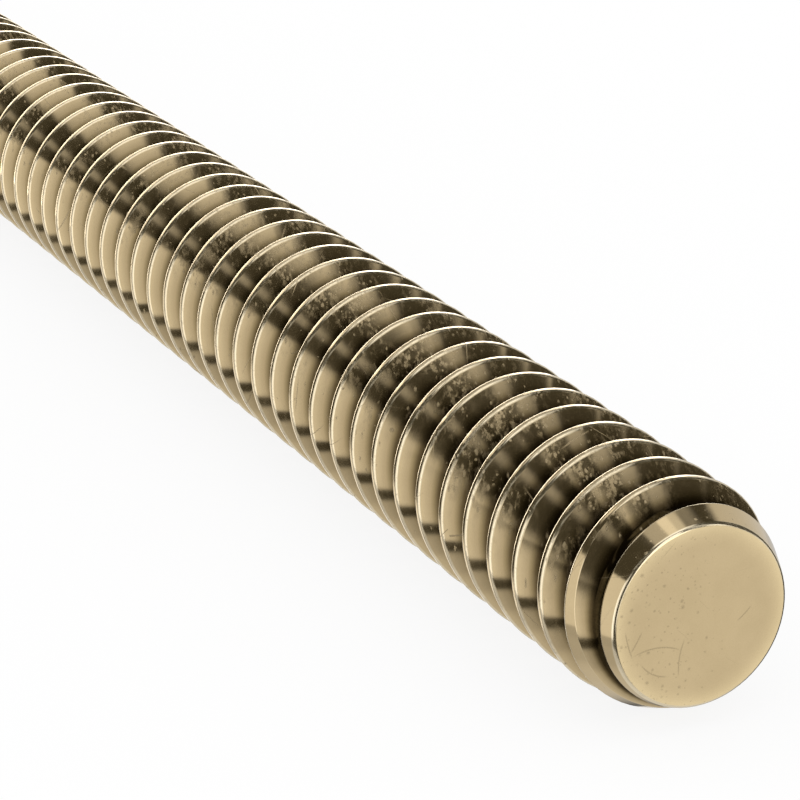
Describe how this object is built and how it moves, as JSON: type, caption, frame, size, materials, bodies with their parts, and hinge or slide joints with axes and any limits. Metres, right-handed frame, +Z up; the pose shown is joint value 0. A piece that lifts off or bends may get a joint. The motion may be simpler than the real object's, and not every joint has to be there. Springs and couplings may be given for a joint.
{
  "type": "threaded rod",
  "caption": "Short brass rod with a coarse right-hand thread over its whole length and a chamfered flat face at each end.",
  "frame": {"origin": "on the surface that the rod lies on, below the middle of its length and under its axis", "axes": "+X along the rod, +Z up from the surface that the rod lies on, +Y across the rod"},
  "size_m": [0.0508, 0.0034, 0.0035],
  "materials": {
    "brass": "polished, with fine pits and hairline scratches"
  },
  "bodies": {
    "root": {"threaded_rod": "brass"}
  },
  "joints": []
}
